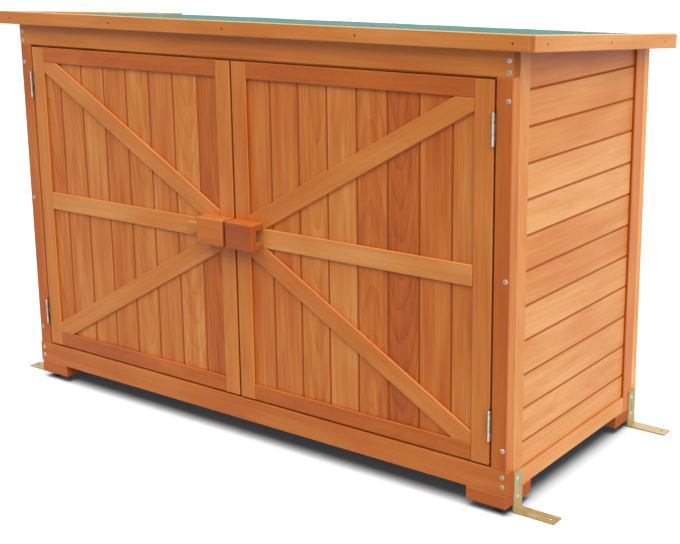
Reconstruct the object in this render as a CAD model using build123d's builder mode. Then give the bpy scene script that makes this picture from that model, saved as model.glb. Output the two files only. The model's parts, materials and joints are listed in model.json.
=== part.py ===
"""Low wooden tool shed with a lean-to felt roof, two braced doors, a sliding wooden latch and ground brackets.

Millimetres. X runs along the front, Y from the front to the back, Z up from the ground.
The origin is the centre of the overall footprint, at ground level.
"""

import os
from math import atan2, degrees, hypot, radians, tan

from build123d import *

# Overall sizes
body_width = 1334.0
body_depth = 580.0
overall_height = 915.0  # top of the front fascia above the ground
roof_side_overhang = 53.0
roof_front_overhang = 20.0
roof_back_overhang = 13.0
roof_pitch = 4.0  # degrees, falling to the back

# Base
pad_height = 16.0
pad_radius = 12.0
pad_chamfer = 2.0
pad_inset = 26.0  # pad centre from the two outer faces of its foot block
foot_width = 88.0
foot_depth = 98.0
foot_height = 27.0
sill_height = 50.0
sill_overhang = 3.0  # how far the front sill runs past each side
side_rail_height = 34.0

# Wall frames
frame_thickness = 24.0  # front and back frames
front_stile_width = 34.0
back_stile_width = 36.0
back_top_rail_height = 40.0
side_post_width = 38.0
side_post_thickness = 30.0
front_header_height = 60.0  # at the front face
timber_ease = 1.5  # chamfer along the long edges of the timbers

# Wall boards
wall_board_thickness = 12.0
wall_board_recess = 6.0  # board face behind the frame face
wall_board_pitch = 68.0
top_joint_drop = 28.0  # highest board joint below the front header
groove_width = 5.0
groove_depth = 3.0

# Floor
floor_thickness = 12.0
bearer_width = 24.0

# Roof
trim_height = 30.0
trim_thickness = 12.0
trim_lip = 4.0  # trim standing above the felt
felt_thickness = 3.0
deck_thickness = 10.0

# Doors
door_gap = 5.0
door_frame_thickness = 6.0  # stiles, rails and braces standing on the boards
door_board_thickness = 12.0
door_stile_width = 40.0
door_end_rail_height = 35.0
door_middle_rail_height = 42.0
brace_width = 42.0
door_board_pitch = 73.0
first_door_joint = 101.0  # first joint of the door boards from the middle of the front

# Latch
keeper_width = 75.0
keeper_height = 58.0
keeper_depth = 36.0
keeper_rise = 5.0  # centre of the keepers above the centre of the middle rails
keeper_setback = 1.0  # keeper end from the free edge of its door
channel_height = 26.0
channel_depth = 20.0
bar_height = 21.0
bar_thickness = 17.0
bar_tail = 46.0  # bar standing out of the left keeper when drawn back
bar_tip_setback = 2.0  # bar tip inside the left keeper when drawn back
bar_chamfer = 2.0

# Hinges
hinge_length = 62.0
leaf_thickness = 1.5
leaf_depth = 18.0
knuckle_radius = 3.2
knuckle_share = 1 / 3  # length of the middle knuckle against the hinge
pin_radius = 1.5
pin_clearance = 0.05
knuckle_gap = 0.5
upper_hinge_place = 88.0  # hinge centre from the top of the door
lower_hinge_place = 82.0  # hinge centre from the bottom of the door

# Ground brackets
bracket_width = 32.0
bracket_rise = 83.0
bracket_reach = 88.0
bracket_thickness = 3.0
bracket_bend_radius = 4.0
bracket_hole_radius = 3.2
bracket_hole_sink = 5.0
lower_screw_level = 28.0
upper_screw_level = 66.0
anchor_hole_radius = 4.5
anchor_hole_setback = 14.0  # ground hole from the bracket's tip
front_bracket_place = 43.0  # bracket centre from the front face
back_bracket_place = 22.0  # bracket centre from the back face

# Clearances
seat_clearance = 0.3
overrun = 5.0  # how far a cut runs past what it cuts

# Places that follow from the sizes above
half_body = body_width / 2
half_roof = half_body + roof_side_overhang
overall_depth = keeper_depth + body_depth + roof_back_overhang
front_y = keeper_depth - overall_depth / 2
back_y = front_y + body_depth
roof_front_y = front_y - roof_front_overhang
roof_back_y = back_y + roof_back_overhang
base_z = pad_height + foot_height
sill_top = base_z + sill_height
side_rail_top = base_z + side_rail_height
slope = tan(radians(roof_pitch))
roof_thickness = trim_lip + felt_thickness + deck_thickness
header_z = overall_height - roof_front_overhang * slope - roof_thickness - front_header_height
top_joint_z = header_z - top_joint_drop
post_inner_x = half_body - side_post_thickness
front_post_back_y = front_y + frame_thickness + side_post_width
back_post_front_y = back_y - frame_thickness - side_post_width

door_inner_x = door_gap / 2
door_outer_x = half_body - front_stile_width - door_gap
door_bottom = sill_top + door_gap
door_top = header_z - door_gap
door_face_back_y = front_y + door_frame_thickness
rail_inner_x = door_inner_x + door_stile_width
rail_outer_x = door_outer_x - door_stile_width
door_middle_z = (door_bottom + door_top) / 2
middle_rail_bottom = door_middle_z - door_middle_rail_height / 2
middle_rail_top = door_middle_z + door_middle_rail_height / 2
top_rail_bottom = door_top - door_end_rail_height
bottom_rail_top = door_bottom + door_end_rail_height
keeper_inner_x = door_inner_x + keeper_setback
keeper_z = door_middle_z + keeper_rise
channel_bottom = keeper_z - channel_height / 2
hinge_x = door_outer_x + door_gap / 2
hinge_y = front_y - knuckle_radius - seat_clearance

os.makedirs("parts", exist_ok=True)


def roof_top(y):
    """Height of the trim's top edge at depth y."""
    return overall_height - (y - roof_front_y) * slope


def felt_top(y):
    """Height of the felt's upper face at depth y."""
    return roof_top(y) - trim_lip


def deck_top(y):
    """Height of the roof deck's upper face at depth y."""
    return felt_top(y) - felt_thickness


def deck_under(y):
    """Height of the roof deck's underside, where the walls stop."""
    return roof_top(y) - roof_thickness


def save(part, name):
    """Labels a finished piece and writes it to its own file."""
    part.label = name
    export_step(part, f"parts/{name}.step")


def mirrored(part):
    """The same piece on the other side of the shed."""
    with BuildPart() as other:
        mirror(part, about=Plane.YZ)
    return other.part


def save_pair(part, right_name, left_name):
    save(part, right_name)
    save(mirrored(part), left_name)


def block(x, y, z):
    """A square block between two places along each axis."""
    with BuildPart() as piece:
        with BuildSketch(Plane.XY.offset(z[0])):
            with Locations(((x[0] + x[1]) / 2, (y[0] + y[1]) / 2)):
                Rectangle(x[1] - x[0], y[1] - y[0])
        extrude(amount=z[1] - z[0])
    return piece.part


def eased(part):
    """The same timber with its four long edges chamfered."""
    with BuildPart() as piece:
        add(part)
        chamfer(piece.edges().sort_by(SortBy.LENGTH)[-4:], timber_ease)
    return piece.part


def timber(x, y, z):
    """A sawn timber between two places along each axis."""
    return eased(block(x, y, z))


def under_roof(x, y, bottom):
    """A timber or panel whose top is cut to the slope of the roof deck."""
    with BuildPart() as piece:
        with BuildSketch(Plane.YZ.offset(x[0])):
            with BuildLine():
                Polyline(
                    (y[0], bottom),
                    (y[1], bottom),
                    (y[1], deck_under(y[1])),
                    (y[0], deck_under(y[0])),
                    close=True,
                )
            make_face()
        extrude(amount=x[1] - x[0])
    return piece.part


def roof_layer(x, y, top, thickness):
    """A sloping board of the roof, plumb at both ends, under the line that top gives."""
    with BuildPart() as piece:
        with BuildSketch(Plane.YZ.offset(x[0])):
            with BuildLine():
                Polyline(
                    (y[0], top(y[0])),
                    (y[1], top(y[1])),
                    (y[1], top(y[1]) - thickness),
                    (y[0], top(y[0]) - thickness),
                    close=True,
                )
            make_face()
        extrude(amount=x[1] - x[0])
    return piece.part


def wall_joint_levels(bottom, top):
    """Heights of the board joints between two levels, counted down from the highest joint."""
    levels = []
    level = top_joint_z
    while level > bottom + groove_width:
        if level < top - groove_width:
            levels.append(level)
        level -= wall_board_pitch
    return levels


# Front frame: a header and a sill across the full width, with a stile at each end between them
front_frame_y = (front_y, front_y + frame_thickness)
save(eased(under_roof((-half_body, half_body), front_frame_y, header_z)), "front_header")

sill_reach = half_body + sill_overhang
save(timber((-sill_reach, sill_reach), front_frame_y, (base_z, sill_top)), "front_sill")

with BuildPart() as front_stiles:
    stile = timber((half_body - front_stile_width, half_body), front_frame_y, (sill_top, header_z))
    add(stile)
    mirror(stile, about=Plane.YZ)
save(front_stiles.part, "front_stiles")

# Side walls: two posts, a bottom rail between them and horizontal boards cut to the roof
post_x = (post_inner_x, half_body)
front_post_y = (front_y + frame_thickness, front_post_back_y)
back_post_y = (back_post_front_y, back_y - frame_thickness)
side_y = (front_post_back_y, back_post_front_y)
save_pair(eased(under_roof(post_x, front_post_y, base_z)), "right_front_post", "left_front_post")
save_pair(eased(under_roof(post_x, back_post_y, base_z)), "right_back_post", "left_back_post")
save_pair(timber(post_x, side_y, (base_z, side_rail_top)), "right_side_rail", "left_side_rail")

side_board_x = (half_body - wall_board_recess - wall_board_thickness, half_body - wall_board_recess)
with BuildPart() as side_boards:
    add(under_roof(side_board_x, side_y, side_rail_top))
    with BuildSketch(Plane.XZ.offset(-side_y[0] + overrun)):
        for level in wall_joint_levels(side_rail_top, deck_under(side_y[1])):
            with BuildLine():
                Polyline(
                    (side_board_x[1], level - groove_width / 2),
                    (side_board_x[1], level + groove_width / 2),
                    (side_board_x[1] - groove_depth, level),
                    close=True,
                )
            make_face()
    extrude(amount=-(side_y[1] - side_y[0] + 2 * overrun), mode=Mode.SUBTRACT)
save_pair(side_boards.part, "right_side_boards", "left_side_boards")

# Back wall: stiles, sill and top rail round horizontal boards like those of the sides
back_frame_y = (back_y - frame_thickness, back_y)
back_field_x = half_body - back_stile_width
back_rail_bottom = deck_under(back_y) - back_top_rail_height
save(timber((-half_body, half_body), back_frame_y, (base_z, sill_top)), "back_sill")
back_top_rail = under_roof((-back_field_x, back_field_x), back_frame_y, back_rail_bottom)
save(eased(back_top_rail), "back_top_rail")

with BuildPart() as back_stiles:
    stile = eased(under_roof((back_field_x, half_body), back_frame_y, sill_top))
    add(stile)
    mirror(stile, about=Plane.YZ)
save(back_stiles.part, "back_stiles")

back_face_y = back_y - wall_board_recess
with BuildPart() as back_boards:
    add(
        block(
            (-back_field_x, back_field_x),
            (back_face_y - wall_board_thickness, back_face_y),
            (sill_top, back_rail_bottom),
        )
    )
    with BuildSketch(Plane.YZ.offset(-back_field_x - overrun)):
        for level in wall_joint_levels(sill_top, back_rail_bottom):
            with BuildLine():
                Polyline(
                    (back_face_y, level - groove_width / 2),
                    (back_face_y, level + groove_width / 2),
                    (back_face_y - groove_depth, level),
                    close=True,
                )
            make_face()
    extrude(amount=2 * (back_field_x + overrun), mode=Mode.SUBTRACT)
save(back_boards.part, "back_boards")

# Floor between the wall frames, on two bearers that stand on the foot blocks
floor_x = (-post_inner_x, post_inner_x)
floor_y = (front_frame_y[1], back_frame_y[0])
floor_bottom = side_rail_top - floor_thickness
save(block(floor_x, floor_y, (floor_bottom, side_rail_top)), "floor_boards")

with BuildPart() as floor_bearers:
    add(timber(floor_x, (floor_y[0], floor_y[0] + bearer_width), (base_z, floor_bottom)))
    add(timber(floor_x, (floor_y[1] - bearer_width, floor_y[1]), (base_z, floor_bottom)))
save(floor_bearers.part, "floor_bearers")

# Foot blocks under the four corners, each on a round rubber pad
foot_x = half_body - foot_width / 2
front_foot_y = front_y + foot_depth / 2
back_foot_y = back_y - foot_depth / 2
with BuildPart() as foot_blocks:
    with BuildSketch(Plane.XY.offset(pad_height)):
        for y in (front_foot_y, back_foot_y):
            with Locations((-foot_x, y), (foot_x, y)):
                Rectangle(foot_width, foot_depth)
    extrude(amount=foot_height)
save(foot_blocks.part, "foot_blocks")

pad_x = half_body - pad_inset
with BuildPart() as foot_pads:
    with BuildSketch():
        for y in (front_y + pad_inset, back_y - pad_inset):
            with Locations((-pad_x, y), (pad_x, y)):
                Circle(pad_radius)
    extrude(amount=pad_height)
    chamfer(foot_pads.edges().group_by(Axis.Z)[0], pad_chamfer)
save(foot_pads.part, "foot_pads")

# Roof: a deck on the walls, felt over it and down its back edge, bargeboards and a fascia between them
deck_x = (trim_thickness - half_roof, half_roof - trim_thickness)
deck_y = (roof_front_y + trim_thickness, roof_back_y - felt_thickness)
save(roof_layer(deck_x, deck_y, deck_top, deck_thickness), "roof_deck")

with BuildPart() as roof_felt:
    with BuildSketch(Plane.YZ.offset(deck_x[0])):
        with BuildLine():
            Polyline(
                (deck_y[0], deck_top(deck_y[0])),
                (deck_y[0], felt_top(deck_y[0])),
                (roof_back_y, felt_top(roof_back_y)),
                (roof_back_y, deck_under(deck_y[1])),
                (deck_y[1], deck_under(deck_y[1])),
                (deck_y[1], deck_top(deck_y[1])),
                close=True,
            )
        make_face()
    extrude(amount=deck_x[1] - deck_x[0])
save(roof_felt.part, "roof_felt")

save(eased(roof_layer(deck_x, (roof_front_y, deck_y[0]), roof_top, trim_height)), "front_fascia")
bargeboard = roof_layer((deck_x[1], half_roof), (roof_front_y, roof_back_y), roof_top, trim_height)
save_pair(eased(bargeboard), "right_bargeboard", "left_bargeboard")

# Ground brackets: steel angles screwed to the sides, with a hole in the foot for a ground anchor
with BuildPart() as bracket:
    with BuildSketch(Plane.XZ.offset(-front_y - front_bracket_place)):
        with BuildLine():
            Polyline(
                (half_body, 0),
                (half_body + bracket_reach, 0),
                (half_body + bracket_reach, bracket_thickness),
                (half_body + bracket_thickness, bracket_thickness),
                (half_body + bracket_thickness, bracket_rise),
                (half_body, bracket_rise),
                close=True,
            )
        make_face()
    extrude(amount=bracket_width / 2, both=True)
    outer_bend = bracket.edges().filter_by(Axis.Y).sort_by_distance((half_body, 0, 0))[0:1]
    fillet(outer_bend, bracket_bend_radius)
    bracket_y = front_y + front_bracket_place
    outer_face = Plane((half_body + bracket_thickness, bracket_y, 0), x_dir=(0, 1, 0), z_dir=(1, 0, 0))
    with Locations(outer_face):
        with Locations((0, lower_screw_level), (0, upper_screw_level)):
            CounterSinkHole(bracket_hole_radius, bracket_hole_sink)
    anchor_x = half_body + bracket_reach - anchor_hole_setback
    with Locations((anchor_x, bracket_y, bracket_thickness)):
        Hole(anchor_hole_radius)

with BuildPart() as ground_brackets:
    bracket_spacing = body_depth - front_bracket_place - back_bracket_place
    with Locations((0, 0), (0, bracket_spacing)):
        add(bracket.part)
    mirror(ground_brackets.part, about=Plane.YZ)
save(ground_brackets.part, "ground_brackets")

# Doors: the right one is built and mirrored. Boards behind, with stiles, rails and braces on their face
door_frame_y = (front_y, door_face_back_y)
door_height = (door_bottom, door_top)
door_back_y = door_face_back_y + door_board_thickness
with BuildPart() as door_boards:
    add(block((door_inner_x, door_outer_x), (door_face_back_y, door_back_y), door_height))
    with BuildSketch(Plane.XY.offset(door_bottom - overrun)):
        joint_x = first_door_joint
        while joint_x < rail_outer_x - groove_width:
            with BuildLine():
                Polyline(
                    (joint_x - groove_width / 2, door_face_back_y),
                    (joint_x + groove_width / 2, door_face_back_y),
                    (joint_x, door_face_back_y + groove_depth),
                    close=True,
                )
            make_face()
            joint_x += door_board_pitch
    extrude(amount=door_top - door_bottom + 2 * overrun, mode=Mode.SUBTRACT)
save_pair(door_boards.part, "right_door_boards", "left_door_boards")

outer_stile = timber((rail_outer_x, door_outer_x), door_frame_y, door_height)
save_pair(outer_stile, "right_door_outer_stile", "left_door_outer_stile")
inner_stile = timber((door_inner_x, rail_inner_x), door_frame_y, door_height)
save_pair(inner_stile, "right_door_inner_stile", "left_door_inner_stile")

rail_x = (rail_inner_x, rail_outer_x)
top_rail = timber(rail_x, door_frame_y, (top_rail_bottom, door_top))
save_pair(top_rail, "right_door_top_rail", "left_door_top_rail")
middle_rail = timber(rail_x, door_frame_y, (middle_rail_bottom, middle_rail_top))
save_pair(middle_rail, "right_door_middle_rail", "left_door_middle_rail")
bottom_rail = timber(rail_x, door_frame_y, (door_bottom, bottom_rail_top))
save_pair(bottom_rail, "right_door_bottom_rail", "left_door_bottom_rail")


def brace(inner_z, outer_z):
    """A brace from corner to corner of one field of the door, cut to fit its rails and stiles."""
    run = rail_outer_x - rail_inner_x
    rise = outer_z - inner_z
    with BuildPart() as piece:
        with BuildSketch(Plane.XZ.offset(-front_y)):
            with Locations(((rail_inner_x + rail_outer_x) / 2, (inner_z + outer_z) / 2)):
                Rectangle(run, abs(rise))
                Rectangle(
                    hypot(run, rise) + brace_width,
                    brace_width,
                    rotation=degrees(atan2(rise, run)),
                    mode=Mode.INTERSECT,
                )
        extrude(amount=-door_frame_thickness)
    return piece.part


with BuildPart() as door_braces:
    add(eased(brace(middle_rail_top, top_rail_bottom)))
    add(eased(brace(middle_rail_bottom, bottom_rail_top)))
save_pair(door_braces.part, "right_door_braces", "left_door_braces")

# Latch: a keeper with a channel on each door, and a bar that slides from the left one into the right one
with BuildPart() as keeper:
    with BuildSketch(Plane.YZ.offset(keeper_inner_x)):
        with Locations((front_y - keeper_depth / 2, keeper_z)):
            Rectangle(keeper_depth, keeper_height)
        with Locations((front_y - channel_depth / 2, keeper_z)):
            Rectangle(channel_depth, channel_height, mode=Mode.SUBTRACT)
    extrude(amount=keeper_width)
save_pair(keeper.part, "right_latch_keeper", "left_latch_keeper")

bar_x = (-keeper_inner_x - keeper_width - bar_tail, -keeper_inner_x - bar_tip_setback)
bar_y = front_y - channel_depth / 2
bar_bottom = channel_bottom + seat_clearance
with BuildPart() as latch_bar:
    add(
        block(
            bar_x,
            (bar_y - bar_thickness / 2, bar_y + bar_thickness / 2),
            (bar_bottom, bar_bottom + bar_height),
        )
    )
    ends = latch_bar.faces().filter_by(Axis.X).edges()
    chamfer(ends, bar_chamfer)
save(latch_bar.part, "latch_bar")

# Hinges: steel butt hinges in the gap beside each door, with the knuckle in front of it
hinge_levels = (door_bottom + lower_hinge_place, door_top - upper_hinge_place)
middle_knuckle = hinge_length * knuckle_share
end_knuckle = (hinge_length - middle_knuckle) / 2 - knuckle_gap


def leaf_plate(x, level):
    """The flat leaf that lies against the edge of a stile."""
    return block(
        x,
        (front_y, front_y + leaf_depth),
        (level - hinge_length / 2, level + hinge_length / 2),
    )


def strap(x, z):
    """The part of a leaf that reaches forward to its knuckle."""
    return block(x, (hinge_y, front_y), z)


def barrel(z, radius):
    with BuildPart() as piece:
        with BuildSketch(Plane.XY.offset(z[0])):
            with Locations((hinge_x, hinge_y)):
                Circle(radius)
        extrude(amount=z[1] - z[0])
    return piece.part


def frame_leaf(level):
    """Leaf on the front stile, with the two end knuckles and the pin."""
    x = (half_body - front_stile_width - leaf_thickness, half_body - front_stile_width)
    low = level - hinge_length / 2
    high = level + hinge_length / 2
    with BuildPart() as piece:
        add(leaf_plate(x, level))
        for z in ((low, low + end_knuckle), (high - end_knuckle, high)):
            add(strap(x, z))
            add(barrel(z, knuckle_radius))
        add(barrel((low, high), pin_radius))
    return piece.part


def door_leaf(level):
    """Leaf on the door's edge, with the middle knuckle that turns on the pin."""
    x = (door_outer_x, door_outer_x + leaf_thickness)
    z = (level - middle_knuckle / 2, level + middle_knuckle / 2)
    with BuildPart() as piece:
        add(leaf_plate(x, level))
        add(strap(x, z))
        add(barrel(z, knuckle_radius))
        add(barrel(z, pin_radius + pin_clearance), mode=Mode.SUBTRACT)
    return piece.part


with BuildPart() as hinge_frame_leaves:
    for level in hinge_levels:
        leaf = frame_leaf(level)
        add(leaf)
        mirror(leaf, about=Plane.YZ)
save(hinge_frame_leaves.part, "hinge_frame_leaves")

with BuildPart() as hinge_door_leaves:
    for level in hinge_levels:
        add(door_leaf(level))
save_pair(hinge_door_leaves.part, "right_hinge_door_leaves", "left_hinge_door_leaves")
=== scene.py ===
import json
import math
import random

import bmesh
import bpy
from mathutils import Matrix, Vector, noise

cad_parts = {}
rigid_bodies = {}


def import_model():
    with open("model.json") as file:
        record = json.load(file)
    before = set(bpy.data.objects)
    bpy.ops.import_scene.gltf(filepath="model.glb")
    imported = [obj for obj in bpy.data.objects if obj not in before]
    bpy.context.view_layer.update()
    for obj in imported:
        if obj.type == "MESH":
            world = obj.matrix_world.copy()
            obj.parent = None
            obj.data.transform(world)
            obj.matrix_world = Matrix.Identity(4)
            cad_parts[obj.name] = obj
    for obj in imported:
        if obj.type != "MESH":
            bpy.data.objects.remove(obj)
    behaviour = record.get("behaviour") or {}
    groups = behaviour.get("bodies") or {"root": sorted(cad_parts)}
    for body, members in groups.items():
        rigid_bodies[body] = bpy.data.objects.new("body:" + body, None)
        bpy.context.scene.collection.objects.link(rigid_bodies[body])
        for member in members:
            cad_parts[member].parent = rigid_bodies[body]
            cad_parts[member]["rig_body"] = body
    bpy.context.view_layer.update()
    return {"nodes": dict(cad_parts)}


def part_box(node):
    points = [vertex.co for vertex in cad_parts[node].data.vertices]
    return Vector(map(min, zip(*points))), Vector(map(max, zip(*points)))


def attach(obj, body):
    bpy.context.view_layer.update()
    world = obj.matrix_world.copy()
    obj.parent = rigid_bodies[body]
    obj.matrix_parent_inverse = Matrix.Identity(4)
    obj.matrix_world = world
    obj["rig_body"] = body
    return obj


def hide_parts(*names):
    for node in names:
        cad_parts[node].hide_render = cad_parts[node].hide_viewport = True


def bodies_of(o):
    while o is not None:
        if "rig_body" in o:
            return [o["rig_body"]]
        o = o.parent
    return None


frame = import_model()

# All lengths are in metres, in the frame's own axes: the front faces -Y and the ground is at zero.
X, Y, Z = 0, 1, 2
AXES = (Vector((1, 0, 0)), Vector((0, 1, 0)), Vector((0, 0, 1)))
SIDES = ("left", "right")
SIGNS = (-1, 1)
FRONT = Vector((0, -1, 0))
BACK = Vector((0, 1, 0))
UP = Vector((0, 0, 1))

# Camera at the photograph's viewing angle.
IMAGE_WIDTH = 680
SENSOR_WIDTH = 36.0
FOCAL_PIXELS = 1243.0
CAMERA_PLACE = Vector((1.738, -2.188, 1.099))
CAMERA_TURN = 0.6515
CAMERA_TILT = -0.2302
CAMERA_ROLL = -0.0137
CAMERA_SHIFT = -0.08
CAMERA_REACH = 200.0

# Boards, as the part's source lays them out.
WALL_BOARD_PITCH = 0.068
TOP_JOINT_DROP = 0.028
DOOR_BOARD_PITCH = 0.073
FIRST_DOOR_JOINT = 0.101
FLOOR_BOARD_PITCH = 0.0888
DECK_BOARD_PITCH = 0.095
WALL_JOINTS = 12
DOOR_JOINTS = 7
FLOOR_JOINTS = 7
JOINT_CHAMFER = 0.0025
JOINT_GAP = 0.0002
BOARD_RECESS = 0.0004
ROOF_ANGLE = math.radians(4.0)
ROOF_FALL = math.tan(ROOF_ANGLE)

# Eased edges: how far, in how many steps, and from what angle an edge is sharp.
TIMBER_EASE = 0.0009
TRIM_EASE = 0.0016
KEEPER_EASE = 0.0028
EASE_SEGMENTS = 2
SHARP_ANGLE = math.radians(60)
FLAT_ANGLE = math.radians(1)
WELD = 1e-5

# How timber is sawn: how far the pith lies from the timber's middle, to the side and in depth, how it
# leans away along the timber, and how much of the figure shows. Flat-sawn faces show arches, and
# quarter-sawn ones show lines. Each timber starts at a random place in a long range of grain.
FLAT_SAWN_SHARE = 0.45
GRAIN_RANGE = 60.0
FLAT_PITH_SIDE = 0.012
FLAT_PITH_DEPTH = (0.05, 0.09)
FLAT_LEAN_SIDE = 0.01
FLAT_LEAN_DEPTH = (0.03, 0.08)
FLAT_SHOWS = (0.5, 1.0)
QUARTER_PITH_SIDE = (0.06, 0.10)
QUARTER_PITH_DEPTH = (0.0, 0.02)
QUARTER_LEAN_SIDE = 0.015
QUARTER_LEAN_DEPTH = 0.02
QUARTER_SHOWS = (0.1, 0.5)

# How dark the growth rings of each kind of timber are.
DOOR_FIGURE = 0.2
WALL_FIGURE = 0.08
TIMBER_FIGURE = 0.08
HEADER_FIGURE = 0.15
SILL_FIGURE = 0.3

# Tones, from 0 for the darkest stain to 1 for the palest, and how far single timbers stray from them.
BOARD_SPREAD = 0.075
TIMBER_SPREAD = 0.03
SIDE_BOARD_TONE = 0.80
# The top board, under the roof's overhang, is darker: painted shade.
TOP_BOARD_SHADE_TONE = 0.62
DOOR_BOARD_TONE = 0.49
BACK_BOARD_TONE = 0.6
FLOOR_BOARD_TONE = 0.6
DECK_BOARD_TONE = 0.55
HEADER_TONE = 0.56
FRONT_SILL_TONE = 0.50
BACK_SILL_TONE = 0.6
FASCIA_TONE = 0.66
BARGE_TONE = 0.64
FOOT_TONE = 0.34
LEFT_KEEPER_TONE = 0.45
RIGHT_KEEPER_TONE = 0.09
LATCH_BAR_TONE = 0.62
FRAME_TONES = {
    "front_stiles": 0.33,
    "back_stiles": 0.6,
    "back_top_rail": 0.6,
    "floor_bearers": 0.5,
}
SIDE_TONES = {"front_post": 0.54, "back_post": 0.34, "side_rail": 0.64}
DOOR_TONES = {
    "outer_stile": 0.64,
    "inner_stile": 0.56,
    "top_rail": 0.34,
    "middle_rail": 0.76,
    "bottom_rail": 0.30,
    "braces": 0.60,
}

# Painted light and shade: how much paler than its front a timber's top and its left and right sides are
# painted, where the lamps from above and the right fall; below zero, as on the doors, they are painted
# darker, as shade. Those of the doors' outer stiles and top rails face the gaps, and are painted paler
# against the shade in the gaps.
PAINTED_SIDE_LIGHT = 0.22
DOOR_PAINTED_SIDE_LIGHT = -0.12
GAP_PAINTED_SIDE_LIGHT = 0.4
KEEPER_PAINTED_SIDE_LIGHT = 0.38
GAP_PARTS = ("outer_stile", "top_rail")

# Shares of the stain for sawn ends, for edges that carry wear and a painted highlight, and, below zero,
# for joints and the painted shade in steps.
SAWN = 0.8
TRIM_SAWN = 0.05
WEAR_AND_HIGHLIGHT = 0.3
SILL_WEAR_AND_HIGHLIGHT = 0.05
DOOR_WEAR_AND_HIGHLIGHT = 0.1
TRIM_WEAR_AND_HIGHLIGHT = 0.85
KEEPER_WEAR_AND_HIGHLIGHT = 0.08
# The share of the wear and painted highlight on edges that don't face up, as the highlight stands for
# light from above.
SIDE_EDGE_SHARE = 0.25
JOINT_AND_STEP_SHADE = -0.8

# Cosines from which a face or an axis counts as facing a way squarely, mostly, halfway or partly.
SQUARE = 0.95
MOSTLY = 0.8
HALFWAY = 0.5
PARTLY = 0.3

# Felt: the sheet and its grid, the fold over the back edge with the angles of its steps in degrees, and
# how uneven it lies: the height, the scales of its waves and ripples, and the ripples' share.
FELT_THICKNESS = 0.003
FELT_CELL = 0.010
FELT_FOLD_RADIUS = 0.004
FELT_FOLD_ANGLES = (60, 30, 0)
FELT_UNEVENNESS = 0.0007
FELT_WAVES = 9.0
FELT_RIPPLES = 31.0
FELT_RIPPLE_SHARE = 0.6

# Fasteners: sizes of their heads, and their places from the edges of what they hold.
SCREW_RADIUS = 0.0050
SCREW_HEIGHT = 0.0014
SCREW_INSET = 0.009
HEADER_SCREW_RISES = (0.030, 0.009)
STILE_SCREW_DROP = 0.042
STILE_SCREW_RISE = 0.041
SILL_SCREW_DROP = 0.013
SILL_SCREW_RISE = 0.017
FRONT_STILE_WIDTH = 0.034
LEAF_THICKNESS = 0.0015
HINGE_LENGTH = 0.062
LEAF_SCREW_RADIUS = 0.0028
LEAF_SCREW_HEIGHT = 0.0003
LEAF_SCREW_STEP = 0.021
LEAF_SCREW_DEPTH = 0.009
BRACKET_WIDTH = 0.032
BRACKET_THICKNESS = 0.003
BRACKET_SCREW_LEVELS = (0.028, 0.066)
BRACKET_SCREW_RADIUS = 0.0044
SINK_DEPTH = 0.0006
NAIL_RADIUS = 0.0022
NAIL_HEIGHT = 0.0004
FASCIA_NAIL_PITCH = 0.3375
FASCIA_NAIL_STEPS = 2
BARGE_NAIL_PITCH = 0.254
BARGE_NAIL_STEPS = 1
TRIM_NAIL_DROP = 0.016
CLOUT_RADIUS = 0.0040
CLOUT_HEIGHT = 0.0008
FELT_NAIL_PITCH = 0.26
FELT_NAIL_STEPS = 2
FELT_NAIL_INSET = 0.014
FELT_SIDE_NAILS = (-0.15, 0.03, 0.21)
FOLD_NAIL_PITCH = FELT_NAIL_PITCH / 2
FOLD_NAIL_STEPS = 5
FOLD_NAIL_RISE = 0.006

# A domed head's rings, from the foot up, as shares of its radius and height, and its cross recess.
HEAD_SEGMENTS = 24
HEAD_RINGS = ((1.0, -1.0), (1.0, 0.25), (0.86, 0.78), (0.58, 1.0))
CROSS_ARM = 0.46
CROSS_HALF_WIDTH = 0.10
CROSS_TAPER = 0.8
CROSS_BED = -0.2

# Floor: how far it reaches, how much light it gives back to the object, and how white the camera sees it.
FLOOR_REACH = 60.0
FLOOR_BOUNCE = 0.15
FLOOR_WHITE = (0.46, 0.46, 0.46, 1.0)

# Light: what comes from all round, and each lamp's direction, strength and softness in degrees. The cool
# tint balances the brown that the timber throws on the floor below it.
WHITE = (1.0, 1.0, 1.0, 1.0)
AMBIENT = 0.16
FLOOR_LAMP = ((0.07, -0.25, 1.0), 8.0, 60.0)
BASE_LAMP = ((0.0, 0.0, 1.0), 0.45, 30.0)
BACK_LAMP = ((-0.45, 0.75, 0.48), 1.2, 35.0)
FRONT_LAMP = ((-0.10, -0.62, 0.77), 1.26, 35.0)
RIGHT_LAMP = ((0.75, -0.22, 0.58), 2.92, 60.0)
INNER_LAMP = ((0.50, -0.80, 0.15), 0.9, 10.0)
PLAIN = (1.0, 1.0, 1.0)
COOL = (0.4, 0.85, 1.1)

# Names of the attributes that the wood material reads.
GRAIN = "grain"
TONE = "tone"
FIGURE = "figure"
END = "end"
EDGE = "edge"

# The middle of a noise, which adds nothing to a sum of weighted noises.
MIDDLE = 0.5

# Wood figure: scales along the grain, across it and through it, and weights in steps of tone. The power
# thins the growth rings to lines.
RING_STRETCH = (0.12, 1.0, 1.0)
LATE_WOOD_POWER = 4.0
BROAD_STREAKS = (3.6, 38.0, 38.0)
NARROW_STREAKS = (5.0, 150.0, 150.0)
FIBRES = (40.0, 1100.0, 1100.0)
PATCHES = (4.0, 11.0, 11.0)
NARROW_SHARE = 0.7
FIBRE_WEIGHT = 0.2
PATCH_WEIGHT = 0.35
TIMBER_STREAK = 0.38
BOARD_STREAK = 0.7
WALL_BOARD_STREAK = 0.42

# Wood surface: its roughness, what fibres and sawn ends add to that, and its gloss.
WOOD_ROUGHNESS = 0.32
FIBRE_ROUGHNESS = 0.25
END_ROUGHNESS = 0.4
WOOD_GLOSS = 0.36

# Felt surface: sizes of its grit, of the clumps that it lies in and of worn areas, as scales.
GRIT_SCALE = 1000.0
CLUMP_SCALE = 260.0
WORN_SCALE = 9.0
FELT_ROUGHNESS = 0.92
FELT_GLOSS = 0.2
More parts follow.
